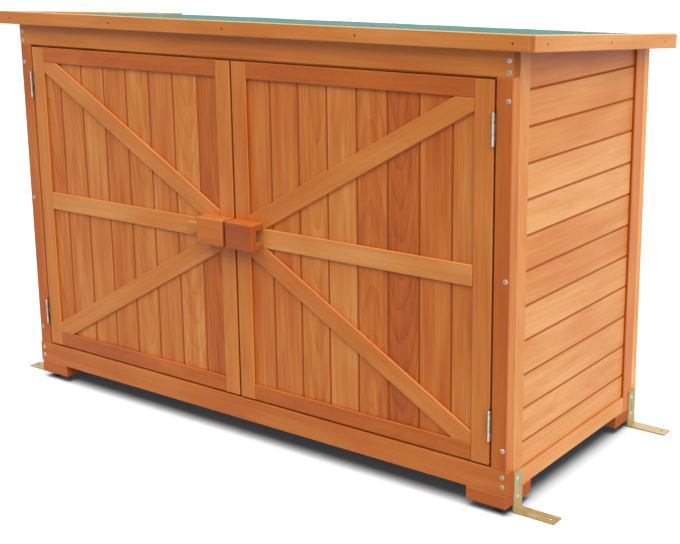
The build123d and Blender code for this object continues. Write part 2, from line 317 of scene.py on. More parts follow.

# Metal and rubber surfaces: sizes of clouds, scratches, grain and dust, as scales. The stretch draws a
# scratch out. The power narrows the painted highlight on the front of a knuckle, and a flat leaf gets a
# share of it.
CLOUD_SCALE = 60.0
FINE_SCRATCHES = 1200.0
COARSE_SCRATCHES = 900.0
SCRATCH_STRETCH = 0.15
KNUCKLE_POWER = 2.0
LEAF_FLATNESS = 0.999
LEAF_HIGHLIGHT_SHARE = 0.6
RUBBER_GRAIN = 700.0
DUST_SCALE = 40.0
RUBBER_ROUGHNESS = 0.7


def srgb(red, green, blue):
    """A colour given as 0 to 255 in sRGB, as the linear colour that a shader takes."""
    linear = []
    for level in (red, green, blue):
        share = level / 255
        linear.append(share / 12.92 if share <= 0.04045 else ((share + 0.055) / 1.055) ** 2.4)
    return (*linear, 1.0)


# Materials

def node(tree, kind, inputs=None, **settings):
    """Adds a shader node; an input that is a socket is linked, and any other is set."""
    made = tree.nodes.new("ShaderNode" + kind)
    for key, value in settings.items():
        setattr(made, key, value)
    for key, value in (inputs or {}).items():
        if isinstance(value, bpy.types.NodeSocket):
            tree.links.new(value, made.inputs[key])
        else:
            made.inputs[key].default_value = value
    return made


def math_node(tree, operation, *values):
    """The result of one operation on sockets and numbers."""
    made = node(tree, "Math", dict(enumerate(values)), operation=operation)
    return made.outputs[0]


def ramp(tree, fac, stops):
    """A colour ramp through stops, which are (place, colour) pairs."""
    made = node(tree, "ValToRGB", {"Fac": fac})
    elements = made.color_ramp.elements
    while len(elements) < len(stops):
        elements.new(MIDDLE)
    for element, (place, colour) in zip(elements, stops):
        element.position = place
        element.color = colour
    return made.outputs["Color"]


def stretched_noise(tree, vector, scale, detail=3.0, roughness=0.55):
    """Noise between 0 and 1, with a scale of its own along each axis."""
    mapped = node(tree, "Mapping", {"Vector": vector, "Scale": scale}, vector_type="POINT")
    made = node(
        tree,
        "TexNoise",
        {"Vector": mapped.outputs["Vector"], "Scale": 1.0, "Detail": detail, "Roughness": roughness},
    )
    return made.outputs["Fac"]


def even_noise(tree, vector, scale, detail=3.0, roughness=0.55):
    """Noise between 0 and 1, with the same scale along each axis."""
    return stretched_noise(tree, vector, (scale, scale, scale), detail, roughness)


def add_bump(tree, shader, height, strength, distance):
    """Bumps the surface by a height, of which one whole step stands for the distance in metres."""
    bump = node(tree, "Bump", {"Height": height, "Strength": strength, "Distance": distance})
    tree.links.new(bump.outputs["Normal"], shader.inputs["Normal"])


def new_material(name):
    """A new material, its nodes and its shader."""
    material = bpy.data.materials.new(name)
    material.use_nodes = True
    tree = material.node_tree
    return material, tree, tree.nodes["Principled BSDF"]


def weighted_sum(tree, base, *terms):
    """base plus each (value, weight) term, where a value of one half adds nothing."""
    total = base
    for value, weight in terms:
        offset = math_node(tree, "SUBTRACT", value, MIDDLE)
        total = math_node(tree, "MULTIPLY_ADD", offset, weight, total)
    return total


def wood(name, streak):
    """Stained softwood: growth rings, streaks of the given strength and fibres along the timber, a tone
    for each board with painted light and shade on some tops and sides, redder sawn ends, dark joints and
    painted shade in steps, and paler edges from wearing and a painted highlight."""
    material, tree, shader = new_material(name)
    grain = node(tree, "Attribute", attribute_name=GRAIN).outputs["Vector"]
    tone = node(tree, "Attribute", attribute_name=TONE).outputs["Fac"]
    figure = node(tree, "Attribute", attribute_name=FIGURE).outputs["Fac"]
    end = node(tree, "Attribute", attribute_name=END).outputs["Fac"]
    edge = node(tree, "Attribute", attribute_name=EDGE).outputs["Fac"]

    slow = node(tree, "Mapping", {"Vector": grain, "Scale": RING_STRETCH}, vector_type="POINT")
    growth = node(
        tree,
        "TexWave",
        {
            "Vector": slow.outputs["Vector"],
            "Scale": 58.0,
            "Distortion": 2.6,
            "Detail": 3.0,
            "Detail Scale": 0.7,
        },
        wave_type="RINGS",
        rings_direction="X",
        wave_profile="SAW",
    ).outputs["Fac"]
    late_wood = math_node(tree, "POWER", growth, LATE_WOOD_POWER)
    ring_lines = math_node(tree, "MULTIPLY", late_wood, figure)
    broad = stretched_noise(tree, grain, BROAD_STREAKS, detail=2.0)
    narrow = stretched_noise(tree, grain, NARROW_STREAKS)
    fibres = stretched_noise(tree, grain, FIBRES, detail=2.0)
    patches = stretched_noise(tree, grain, PATCHES, detail=1.0)
    pale = weighted_sum(
        tree,
        tone,
        (broad, streak),
        (narrow, NARROW_SHARE * streak),
        (fibres, FIBRE_WEIGHT),
        (patches, PATCH_WEIGHT),
    )
    pale = math_node(tree, "SUBTRACT", pale, ring_lines)
    colour = ramp(tree, pale, STAIN)
    # Above zero the edge share is wear and a painted highlight; below zero it marks dark joints and the
    # painted shade in steps.
    paling = math_node(tree, "MAXIMUM", edge, 0.0)
    joint_and_shade = math_node(tree, "MAXIMUM", math_node(tree, "MULTIPLY", edge, -1.0), 0.0)
    for share, other in ((end, END_STAIN), (joint_and_shade, JOINT_AND_SHADE_COLOUR), (paling, WEAR_AND_HIGHLIGHT_COLOUR)):
        mix = node(tree, "MixRGB", {"Fac": share, "Color1": colour, "Color2": other})
        colour = mix.outputs["Color"]
    tree.links.new(colour, shader.inputs["Base Color"])

    rough = math_node(tree, "MULTIPLY_ADD", fibres, FIBRE_ROUGHNESS, WOOD_ROUGHNESS)
    rough = math_node(tree, "MULTIPLY_ADD", end, END_ROUGHNESS, rough)
    tree.links.new(rough, shader.inputs["Roughness"])
    shader.inputs["Specular IOR Level"].default_value = WOOD_GLOSS
    height = weighted_sum(tree, 0.0, (fibres, 0.7), (growth, 0.2), (narrow, 0.5))
    add_bump(tree, shader, height, strength=0.3, distance=0.0007)
    return material


def felt_material():
    """Green mineral felt: coloured grit pressed into a bitumen sheet."""
    material, tree, shader = new_material("mineral_felt")
    place = node(tree, "TexCoord").outputs["Object"]
    grit = even_noise(tree, place, GRIT_SCALE, detail=2.0, roughness=0.7)
    clumps = even_noise(tree, place, CLUMP_SCALE, roughness=0.6)
    paling = even_noise(tree, place, WORN_SCALE, detail=4.0, roughness=0.6)
    pale = weighted_sum(tree, MIDDLE, (grit, 1.5), (clumps, 1.3), (paling, 0.5))
    colour = ramp(
        tree,
        pale,
        [
            (0.0, srgb(36, 68, 62)),
            (0.35, srgb(78, 128, 116)),
            (0.65, srgb(104, 156, 144)),
            (1.0, srgb(168, 208, 198)),
        ],
    )
    tree.links.new(colour, shader.inputs["Base Color"])
    shader.inputs["Roughness"].default_value = FELT_ROUGHNESS
    shader.inputs["Specular IOR Level"].default_value = FELT_GLOSS
    height = weighted_sum(tree, 0.0, (grit, 1.0), (clumps, 0.6))
    add_bump(tree, shader, height, strength=0.8, distance=0.0015)
    return material


def metal(name, stops, metallic, roughness, scratch, painted_highlight=0.0):
    """A plated or bare metal with cloudy colour and fine scratches of the given density. painted_highlight
    is how much brighter the front of a knuckle is painted than its flanks, a painted highlight; a flat
    leaf is in between."""
    material, tree, shader = new_material(name)
    place = node(tree, "TexCoord").outputs["Object"]
    cloud = even_noise(tree, place, CLOUD_SCALE)
    fine = stretched_noise(tree, place, (scratch, scratch, SCRATCH_STRETCH * scratch))
    bright = weighted_sum(tree, MIDDLE, (cloud, 1.2), (fine, 0.5))
    # Painted highlight: the front of a knuckle, and a flat leaf by a share, are painted brighter than the
    # flanks.
    if painted_highlight:
        facing = node(tree, "SeparateXYZ", {"Vector": node(tree, "TexCoord").outputs["Normal"]})
        forward = math_node(tree, "ABSOLUTE", facing.outputs["Y"])
        forward = math_node(tree, "POWER", forward, KNUCKLE_POWER)
        sideways = math_node(tree, "ABSOLUTE", facing.outputs["X"])
        flat = math_node(tree, "GREATER_THAN", sideways, LEAF_FLATNESS)
        leaf = math_node(tree, "MULTIPLY", flat, LEAF_HIGHLIGHT_SHARE)
        forward = math_node(tree, "MAXIMUM", forward, leaf)
        bright = weighted_sum(tree, bright, (forward, painted_highlight))
    colour = ramp(tree, bright, stops)
    tree.links.new(colour, shader.inputs["Base Color"])
    shader.inputs["Metallic"].default_value = metallic
    rough = weighted_sum(tree, roughness, (fine, 0.25), (cloud, 0.15))
    tree.links.new(rough, shader.inputs["Roughness"])
    add_bump(tree, shader, fine, strength=0.15, distance=0.0003)
    return material


def rubber_material():
    """Black rubber with a little pale dust on it."""
    material, tree, shader = new_material("black_rubber")
    place = node(tree, "TexCoord").outputs["Object"]
    fine = even_noise(tree, place, RUBBER_GRAIN)
    dust = even_noise(tree, place, DUST_SCALE, detail=4.0)
    colour = ramp(tree, dust, [(0.3, srgb(14, 13, 13)), (0.8, srgb(44, 40, 38))])
    tree.links.new(colour, shader.inputs["Base Color"])
    rough = weighted_sum(tree, RUBBER_ROUGHNESS, (fine, 0.3))
    tree.links.new(rough, shader.inputs["Roughness"])
    add_bump(tree, shader, fine, strength=0.3, distance=0.0004)
    return material


STAIN = [
    (0.0, srgb(154, 66, 14)),
    (0.35, srgb(194, 96, 24)),
    (0.65, srgb(213, 128, 53)),
    (1.0, srgb(233, 166, 98)),
]
END_STAIN = srgb(164, 74, 20)
# Joints are darker, and the same colour is the painted shade on the sides of steps beside the boards.
JOINT_AND_SHADE_COLOUR = srgb(160, 68, 6)
WEAR_AND_HIGHLIGHT_COLOUR = srgb(240, 188, 130)
TIMBER = wood("stained_timber", TIMBER_STREAK)
BOARDS = wood("stained_boards", BOARD_STREAK)
WALL_BOARDS = wood("stained_wall_boards", WALL_BOARD_STREAK)
FELT = felt_material()
ZINC = metal(
    "yellow_zinc_steel",
    [(0.0, srgb(148, 126, 80)), (0.5, srgb(180, 157, 105)), (1.0, srgb(204, 186, 144))],
    metallic=0.12,
    roughness=0.55,
    scratch=COARSE_SCRATCHES,
)
# The hinge steel has a painted highlight on the fronts of its knuckles.
STEEL = metal(
    "hinge_steel",
    [(0.0, srgb(70, 58, 52)), (0.5, srgb(138, 128, 122)), (1.0, srgb(220, 206, 196))],
    metallic=0.8,
    roughness=0.35,
    scratch=FINE_SCRATCHES,
    painted_highlight=0.9,
)
BRIGHT_STEEL = metal(
    "bright_steel",
    [(0.0, srgb(120, 114, 108)), (0.5, srgb(186, 180, 172)), (1.0, srgb(236, 232, 226))],
    metallic=0.8,
    roughness=0.28,
    scratch=FINE_SCRATCHES,
)
SCREW_STEEL = metal(
    "screw_steel",
    [(0.0, srgb(124, 108, 98)), (0.5, srgb(178, 160, 148)), (1.0, srgb(220, 204, 192))],
    metallic=0.7,
    roughness=0.42,
    scratch=FINE_SCRATCHES,
)
NAIL_STEEL = metal(
    "nail_steel",
    [(0.0, srgb(50, 22, 8)), (0.5, srgb(84, 42, 18)), (1.0, srgb(120, 74, 42))],
    metallic=0.0,
    roughness=0.9,
    scratch=FINE_SCRATCHES,
)
RUBBER = rubber_material()


# Meshes

def body_of(name):
    """The body that a CAD node belongs to."""
    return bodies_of(frame["nodes"][name])[0]


def make_piece(bm, name, material, body, replaced=()):
    """Turns a bmesh into a piece that rides on a body and stands for the CAD nodes named."""
    mesh = bpy.data.meshes.new(name)
    bm.to_mesh(mesh)
    bm.free()
    mesh.materials.append(material)
    piece = bpy.data.objects.new(name, mesh)
    bpy.context.scene.collection.objects.link(piece)
    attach(piece, body)
    if replaced:
        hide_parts(*replaced)
    return piece


def add_wood_layers(bm):
    """Adds the attributes that the wood material reads."""
    bm.verts.layers.float_vector.new(GRAIN)
    bm.faces.layers.float.new(TONE)
    bm.verts.layers.float.new(FIGURE)
    bm.faces.layers.float.new(END)
    bm.faces.layers.float.new(EDGE)


def mark(
    bm, verts, faces, along, rng, tone, spread, figured, edge, ends, painted_side_light=0.0, painted_shade_side=None
):
    """Gives one timber its own grain, which runs along it, and marks its sawn ends and its cut edges:
    above zero the edge share is wearing and a painted highlight, below zero dark joints.
    painted_side_light is how much paler its top and outer sides are painted, as painted light, and
    painted_shade_side is the way a side faces that is painted as dark as the joints, as painted shade in a
    step."""
    spans = []
    for axis in AXES:
        places = [v.co.dot(axis) for v in verts]
        clear = abs(axis.dot(along)) < HALFWAY
        spans.append(max(places) - min(places) if clear else math.inf)
    through = AXES[spans.index(min(spans))]
    across = through.cross(along).normalized()
    middle = sum((v.co for v in verts), Vector()) / len(verts)
    start = rng.uniform(0.0, GRAIN_RANGE)
    sign = rng.choice(SIGNS)
    if rng.random() < FLAT_SAWN_SHARE:
        pith_side = rng.uniform(-FLAT_PITH_SIDE, FLAT_PITH_SIDE)
        pith_depth = rng.uniform(*FLAT_PITH_DEPTH)
        lean_side = rng.uniform(-FLAT_LEAN_SIDE, FLAT_LEAN_SIDE)
        lean_depth = sign * rng.uniform(*FLAT_LEAN_DEPTH)
        figure = figured * rng.uniform(*FLAT_SHOWS)
    else:
        pith_side = sign * rng.uniform(*QUARTER_PITH_SIDE)
        pith_depth = rng.uniform(*QUARTER_PITH_DEPTH)
        lean_side = rng.uniform(-QUARTER_LEAN_SIDE, QUARTER_LEAN_SIDE)
        lean_depth = rng.uniform(-QUARTER_LEAN_DEPTH, QUARTER_LEAN_DEPTH)
        figure = figured * rng.uniform(*QUARTER_SHOWS)
    pith = Vector((start, pith_side, pith_depth))
    lean = Vector((1.0, lean_side, lean_depth))
    level = min(max(rng.gauss(tone, spread), 0.0), 1.0)

    grain_layer = bm.verts.layers.float_vector[GRAIN]
    figure_layer = bm.verts.layers.float[FIGURE]
    for v in verts:
        offset = v.co - middle
        length = offset.dot(along)
        v[grain_layer] = pith + lean * length + Vector((0, offset.dot(across), offset.dot(through)))
        v[figure_layer] = figure

    end_layer = bm.faces.layers.float[END]
    edge_layer = bm.faces.layers.float[EDGE]
    tone_layer = bm.faces.layers.float[TONE]
    for face in faces:
        # Painted light: the top and the left and right sides are paler, where the lamps from above and the
        # right fall.
        open_to_light = max(face.normal.z, abs(face.normal.x)) > MOSTLY
        face[tone_layer] = min(level + painted_side_light, 1.0) if open_to_light else level
        facing = max(abs(face.normal.dot(axis)) for axis in (along, across, through))
        face[end_layer] = ends if abs(face.normal.dot(along)) > MOSTLY else 0.0
        # Wear and painted highlight in full on edges that face up, where light from above falls, and a
        # share on the others.
        wear_and_highlight = edge if edge < 0 or face.normal.z > PARTLY else SIDE_EDGE_SHARE * edge
        face[edge_layer] = wear_and_highlight if facing < SQUARE else 0.0
        # Painted shade: a side that faces the given way, in a step, is as dark as the joints.
        if painted_shade_side and face.normal.dot(painted_shade_side) > SQUARE:
            face[edge_layer] = JOINT_AND_STEP_SHADE


def board(bm, low, high, along, cut=None):
    """One board with chamfered long edges. cut gives the height above which it is sawn off."""
    i, j = [axis for axis in (X, Y, Z) if axis != along]
    c = JOINT_CHAMFER
    outline = [
        (low[i] + c, low[j]),
        (high[i] - c, low[j]),
        (high[i], low[j] + c),
        (high[i], high[j] - c),
        (high[i] - c, high[j]),
        (low[i] + c, high[j]),
        (low[i], high[j] - c),
        (low[i], low[j] + c),
    ]
    rings = []
    for end in (low[along], high[along]):
        ring = []
        for a, b in outline:
            point = Vector((0, 0, 0))
            point[along], point[i], point[j] = end, a, b
            if cut:
                point.z = min(point.z, cut(point.y))
            ring.append(bm.verts.new(point))
        rings.append(ring)
    first, last = rings
    count = len(outline)
    faces = [
        bm.faces.new((first[k], first[(k + 1) % count], last[(k + 1) % count], last[k]))
        for k in range(count)
    ]
    faces += [bm.faces.new(first[::-1]), bm.faces.new(last)]
    bmesh.ops.recalc_face_normals(bm, faces=faces)
    return first + last, faces


def planks(name, panel, along, stack, joints, tone, figured, material, cut=None, painted_shade_tone=None):
    """Replaces a CAD panel by separate boards that lie along one axis and are stacked along another.
    painted_shade_tone is a darker tone for the last board in the stack, painted shade under the roof,
    where one is given."""
    low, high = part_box(panel)
    inside = [place for place in sorted(joints) if low[stack] < place < high[stack]]
    ends = [low[stack], *inside, high[stack]]
    through = X + Y + Z - along - stack
    rng = random.Random(name)
    bm = bmesh.new()
    add_wood_layers(bm)
    for start, stop in zip(ends, ends[1:]):
        first, last = low.copy(), high.copy()
        first[stack] = start + JOINT_GAP / 2
        last[stack] = stop - JOINT_GAP / 2
        first[through] += rng.uniform(0.0, BOARD_RECESS)
        last[through] -= rng.uniform(0.0, BOARD_RECESS)
        verts, faces = board(bm, first, last, along, cut)
        own = painted_shade_tone if painted_shade_tone and stop == high[stack] else tone
        mark(bm, verts, faces, AXES[along], rng, own, BOARD_SPREAD, figured, JOINT_AND_STEP_SHADE, SAWN)
    return make_piece(bm, name, material, body_of(panel), (panel,))


def islands(bm):
    """The vertices of each separate solid, in a fixed order."""
    seen = set()
    for seed in bm.verts:
        if seed in seen:
            continue
        seen.add(seed)
        group = [seed]
        for v in group:
            for e in v.link_edges:
                other = e.other_vert(v)
                if other not in seen:
                    seen.add(other)
                    group.append(other)
        yield group


def copied_solid(name):
    """The CAD node's solid as a bmesh with whole faces and welded corners."""
    source = frame["nodes"][name].data
    bm = bmesh.new()
    verts = [bm.verts.new(v.co) for v in source.vertices]
    for polygon in source.polygons:
        bm.faces.new([verts[i] for i in polygon.vertices])
    bmesh.ops.remove_doubles(bm, verts=bm.verts, dist=WELD)
    bmesh.ops.dissolve_limit(bm, angle_limit=FLAT_ANGLE, verts=bm.verts, edges=bm.edges)
    return bm


def timber(
    panel,
    tone,
    along=None,
    ends=SAWN,
    ease=TIMBER_EASE,
    paling=WEAR_AND_HIGHLIGHT,
    painted_side_light=PAINTED_SIDE_LIGHT,
    figured=TIMBER_FIGURE,
    painted_shade_side=None,
):
    """Replaces a CAD timber by the same solid with eased edges and grain along its longest edge."""
    name = panel + "_timber"
    bm = copied_solid(panel)
    add_wood_layers(bm)
    sharp = [e for e in bm.edges if e.is_manifold and e.calc_face_angle() > SHARP_ANGLE]
    bmesh.ops.bevel(
        bm,
        geom=sharp,
        offset=ease,
        segments=EASE_SEGMENTS,
        profile=0.5,
        affect="EDGES",
        clamp_overlap=True,
    )
    bmesh.ops.recalc_face_normals(bm, faces=bm.faces)
    bm.normal_update()
    rng = random.Random(name)
    for verts in islands(bm):
        members = set(verts)
        faces = [f for f in bm.faces if f.verts[0] in members]
        edges = [e for e in bm.edges if e.verts[0] in members]
        longest = max(edges, key=lambda e: e.calc_length())
        direction = along or (longest.verts[1].co - longest.verts[0].co).normalized()
        mark(
            bm, verts, faces, direction, rng, tone, TIMBER_SPREAD, figured, paling, ends, painted_side_light, painted_shade_side
        )
    return make_piece(bm, name, TIMBER, body_of(panel), (panel,))


def even_places(first, pitch, count):
    """Places at an even pitch, from the first on."""
    return [first + pitch * i for i in range(count)]


def roof_line(panel):
    """The height at which a side panel is sawn off under the roof, as a function of y."""
    low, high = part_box(panel)
    return lambda y: high.z - (y - low.y) * ROOF_FALL


# Boards

header_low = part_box("front_header")[0]
floor_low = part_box("floor_boards")[0]
wall_joints = even_places(header_low.z - TOP_JOINT_DROP, -WALL_BOARD_PITCH, WALL_JOINTS)
door_joints = even_places(FIRST_DOOR_JOINT, DOOR_BOARD_PITCH, DOOR_JOINTS)
floor_joints = even_places(floor_low.y, FLOOR_BOARD_PITCH, FLOOR_JOINTS)

for side, sign in zip(SIDES, SIGNS):
    # The side planks' top board is painted darker, as shade under the roof's overhang.
    planks(
        side + "_side_planks",
        side + "_side_boards",
        along=Y,
        stack=Z,
        joints=wall_joints,
        tone=SIDE_BOARD_TONE,
        figured=WALL_FIGURE,
        material=WALL_BOARDS,
        cut=roof_line(side + "_side_boards"),
        painted_shade_tone=TOP_BOARD_SHADE_TONE,
    )
    planks(
        side + "_door_planks",
        side + "_door_boards",
        along=Z,
        stack=X,
        joints=[sign * place for place in door_joints],
        tone=DOOR_BOARD_TONE,
        figured=DOOR_FIGURE,
        material=BOARDS,
    )

planks(
    "back_planks",
    "back_boards",
    along=X,
    stack=Z,
    joints=wall_joints,
    tone=BACK_BOARD_TONE,
    figured=WALL_FIGURE,
    material=WALL_BOARDS,
)
planks(
    "floor_planks",
    "floor_boards",
    along=X,
    stack=Y,
    joints=floor_joints,
    tone=FLOOR_BOARD_TONE,
    figured=DOOR_FIGURE,
    material=BOARDS,
)


# Timbers

for panel, tone in FRAME_TONES.items():
    timber(panel, tone)
timber("front_header", HEADER_TONE, figured=HEADER_FIGURE)
timber("front_sill", FRONT_SILL_TONE, paling=SILL_WEAR_AND_HIGHLIGHT, figured=SILL_FIGURE)
timber("front_fascia", FASCIA_TONE, ends=TRIM_SAWN, ease=TRIM_EASE, paling=TRIM_WEAR_AND_HIGHLIGHT)
timber("back_sill", BACK_SILL_TONE, ends=TRIM_SAWN)
for side, sign in zip(SIDES, SIGNS):
    timber(side + "_bargeboard", BARGE_TONE, ends=TRIM_SAWN, ease=TRIM_EASE, paling=TRIM_WEAR_AND_HIGHLIGHT)
    for part, tone in SIDE_TONES.items():
        # The back post's side that faces the front, beside the recessed boards, is painted as dark as the
        # joints: painted shade.
        timber(f"{side}_{part}", tone, painted_shade_side=FRONT if part == "back_post" else None)
    # The sides of the door stiles that face the boards are painted as dark as the joints: painted shade in
    # the step.
    facing_boards = {"outer_stile": -sign * AXES[X], "inner_stile": sign * AXES[X]}
    for part, tone in DOOR_TONES.items():
        # The doors' tops and sides are painted darker as shade, and those of the parts that face the gaps
        # paler.
        timber(
            f"{side}_door_{part}",
            tone,
            paling=DOOR_WEAR_AND_HIGHLIGHT,
            painted_side_light=GAP_PAINTED_SIDE_LIGHT if part in GAP_PARTS else DOOR_PAINTED_SIDE_LIGHT,
            painted_shade_side=facing_boards.get(part),
        )
timber("foot_blocks", FOOT_TONE, along=AXES[X])
timber("left_latch_keeper", LEFT_KEEPER_TONE, ease=KEEPER_EASE, paling=KEEPER_WEAR_AND_HIGHLIGHT)
# The right keeper's top and sides are painted paler: painted light.
timber(
    "right_latch_keeper",
    RIGHT_KEEPER_TONE,
    ease=KEEPER_EASE,
    paling=KEEPER_WEAR_AND_HIGHLIGHT,
    painted_side_light=KEEPER_PAINTED_SIDE_LIGHT,
)
timber("latch_bar", LATCH_BAR_TONE)


# Roof

def deck_boards():
    """Replaces the roof deck by boards that run along the front, set down with the roof's fall."""
    low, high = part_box("roof_deck")
    depth = high.z - low.z - (high.y - low.y) * ROOF_FALL
    rng = random.Random("roof_deck")
    bm = bmesh.new()
    add_wood_layers(bm)
    start = low.y
    while start < high.y - WELD:
        stop = min(start + DECK_BOARD_PITCH, high.y)
        first = Vector((low.x, start + JOINT_GAP / 2, low.z))
        last = Vector((high.x, stop - JOINT_GAP / 2, low.z + depth))
        verts, faces = board(bm, first, last, X)
        mark(bm, verts, faces, AXES[X], rng, DECK_BOARD_TONE, BOARD_SPREAD, DOOR_FIGURE, JOINT_AND_STEP_SHADE, SAWN)
        for v in verts:
            v.co.z += (high.y - v.co.y) * ROOF_FALL
        start = stop
    return make_piece(bm, "roof_deck_planks", BOARDS, "cabinet", ("roof_deck",))


def felt_sheet():
    """Replaces the felt by an uneven sheet that turns down over the deck's back edge."""
    low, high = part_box("roof_felt")
    front_z = high.z
    turn_y = high.y - FELT_FOLD_RADIUS
    turn_z = front_z - (turn_y - low.y) * ROOF_FALL - FELT_FOLD_RADIUS
    normal = Vector((0, math.sin(ROOF_ANGLE), math.cos(ROOF_ANGLE)))

    profile = []
    rows = round((turn_y - low.y) / FELT_CELL)
    for row in range(rows + 1):
        y = low.y + (turn_y - low.y) * row / rows
        profile.append((Vector((0, y, front_z - (y - low.y) * ROOF_FALL)), normal))
    for angle in FELT_FOLD_ANGLES:
        out = Vector((0, math.cos(math.radians(angle)), math.sin(math.radians(angle))))
        profile.append((Vector((0, turn_y, turn_z)) + out * FELT_FOLD_RADIUS, out))
    profile.append((Vector((0, high.y, low.z)), BACK))

    bm = bmesh.new()
    columns = round((high.x - low.x) / FELT_CELL)
    grid = []
    for column in range(columns + 1):
        x = low.x + (high.x - low.x) * column / columns
        line = []
        for place, out in profile:
            point = Vector((x, place.y, place.z))
            waves = noise.noise(point * FELT_WAVES)
            ripples = noise.noise(point * FELT_RIPPLES)
            swell = waves + FELT_RIPPLE_SHARE * ripples
            line.append(bm.verts.new(point + out * FELT_UNEVENNESS * swell))
        grid.append(line)
    for one, other in zip(grid, grid[1:]):
        for k in range(len(profile) - 1):
            bm.faces.new((one[k], other[k], other[k + 1], one[k + 1]))
    bmesh.ops.recalc_face_normals(bm, faces=bm.faces)
    bmesh.ops.solidify(bm, geom=bm.faces[:], thickness=FELT_THICKNESS)
    for face in bm.faces:
        face.smooth = True
    return make_piece(bm, "roof_felt_sheet", FELT, "cabinet", ("roof_felt",))


deck_boards()
felt_sheet()


# Fasteners

def head(bm, place, facing, radius, height, spin=None):
    """A domed fastener head on a surface. With a spin it has a cross recess, turned by that angle."""
    turn = Matrix.Translation(place) @ facing.to_track_quat("Z", "Y").to_matrix().to_4x4()
    if spin is not None:
        turn = turn @ Matrix.Rotation(spin, 4, "Z")

    def ring(width, level):
        """A circle of vertices at a level above the surface."""
        points = []
        for k in range(HEAD_SEGMENTS):
            angle = 2 * math.pi * k / HEAD_SEGMENTS
            points.append(Vector((width * math.cos(angle), width * math.sin(angle), level)))
        return [bm.verts.new(turn @ p) for p in points]

    rings = [ring(wide * radius, tall * height) for wide, tall in HEAD_RINGS]
    for lower, upper in zip(rings, rings[1:]):
        for k in range(HEAD_SEGMENTS):
            n = (k + 1) % HEAD_SEGMENTS
            bm.faces.new((lower[k], lower[n], upper[n], upper[k]))
    bm.faces.new(rings[0][::-1])
    top = rings[-1]
    if spin is None:
        bm.faces.new(top)
        return
    arm = CROSS_ARM * radius
    half = CROSS_HALF_WIDTH * radius
    depth = CROSS_BED * height
    quarter = [(arm, -half), (arm, half), (half, half)]
    outline = []
    for turns in range(4):
        for a, b in quarter:
            for _ in range(turns):
                a, b = -b, a
            outline.append((a, b))
    lip = [bm.verts.new(turn @ Vector((a, b, height))) for a, b in outline]
    narrowed = [(CROSS_TAPER * a, CROSS_TAPER * b) for a, b in outline]
    bed = [bm.verts.new(turn @ Vector((a, b, depth))) for a, b in narrowed]
    lip_edges = [bm.edges.new((lip[k], lip[(k + 1) % len(lip)])) for k in range(len(lip))]
    rim_edges = [bm.edges.get((top[k], top[(k + 1) % len(top)])) for k in range(len(top))]
    bmesh.ops.triangle_fill(bm, edges=rim_edges + lip_edges, use_beauty=True)
    for k in range(len(lip)):
        n = (k + 1) % len(lip)
        bm.faces.new((lip[k], lip[n], bed[n], bed[k]))
    bm.faces.new(bed)


def each_way(count):
    """Whole steps from a middle, as many to one side as to the other."""
    return range(-count, count + 1)


def fasteners(name, places, radius, height, material, body="cabinet", crossed=True):
    """One piece of fastener heads, each at its place and facing its own way."""
    rng = random.Random(name)
    bm = bmesh.new()
    for place, facing in places:
        spin = rng.uniform(0.0, math.pi / 2) if crossed else None
        head(bm, place, facing, radius, height, spin)
    bmesh.ops.recalc_face_normals(bm, faces=bm.faces)
    return make_piece(bm, name, material, body)


def front_screws():
    """Screws through the front frame's outer edges, in the header, stiles and sill."""
    stile_low, stile_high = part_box("front_stiles")
    door_low, door_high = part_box("left_door_boards")
    sill_low, sill_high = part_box("front_sill")
    levels = [header_low.z + rise for rise in HEADER_SCREW_RISES]
    levels += [
        stile_high.z - STILE_SCREW_DROP,
        (door_low.z + door_high.z) / 2,
        stile_low.z + STILE_SCREW_RISE,
        sill_high.z - SILL_SCREW_DROP,
        sill_low.z + SILL_SCREW_RISE,
    ]
    places = []
    for sign in SIGNS:
        x = sign * (stile_high.x - SCREW_INSET)
        places += [(Vector((x, stile_low.y, z)), FRONT) for z in levels]
    fasteners("front_screws", places, SCREW_RADIUS, SCREW_HEIGHT, SCREW_STEEL)


def bracket_screws():
    """Two screws in the upright leg of each ground bracket."""
    low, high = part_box("ground_brackets")
    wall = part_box("right_front_post")[1].x
    rows = (low.y + BRACKET_WIDTH / 2, high.y - BRACKET_WIDTH / 2)
    places = []
    for sign in SIGNS:
        for y in rows:
            for z in BRACKET_SCREW_LEVELS:
                place = Vector((sign * (wall + BRACKET_THICKNESS - SINK_DEPTH), y, z))
                places.append((place, sign * AXES[X]))
    fasteners("bracket_screws", places, BRACKET_SCREW_RADIUS, SCREW_HEIGHT, BRIGHT_STEEL)


def hinge_screws():
    """Three flat screws in each hinge leaf, which show when the doors are open."""
    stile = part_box("right_door_outer_stile")
    frame_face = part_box("front_stiles")[1].x - FRONT_STILE_WIDTH - LEAF_THICKNESS
    door_face = stile[1].x + LEAF_THICKNESS
    depth = stile[0].y + LEAF_SCREW_DEPTH
    leaf_low, leaf_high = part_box("hinge_frame_leaves")
    middles = (leaf_low.z + HINGE_LENGTH / 2, leaf_high.z - HINGE_LENGTH / 2)
    levels = [z + step for z in middles for step in (-LEAF_SCREW_STEP, 0.0, LEAF_SCREW_STEP)]
    on_frame = []
    for side, sign in zip(SIDES, SIGNS):
        on_door = [(Vector((sign * door_face, depth, z)), sign * AXES[X]) for z in levels]
        on_frame += [(Vector((sign * frame_face, depth, z)), -sign * AXES[X]) for z in levels]
        fasteners(
            side + "_hinge_screws",
            on_door,
            LEAF_SCREW_RADIUS,
            LEAF_SCREW_HEIGHT,
            BRIGHT_STEEL,
            side + "_door",
        )
    fasteners("frame_hinge_screws", on_frame, LEAF_SCREW_RADIUS, LEAF_SCREW_HEIGHT, BRIGHT_STEEL)


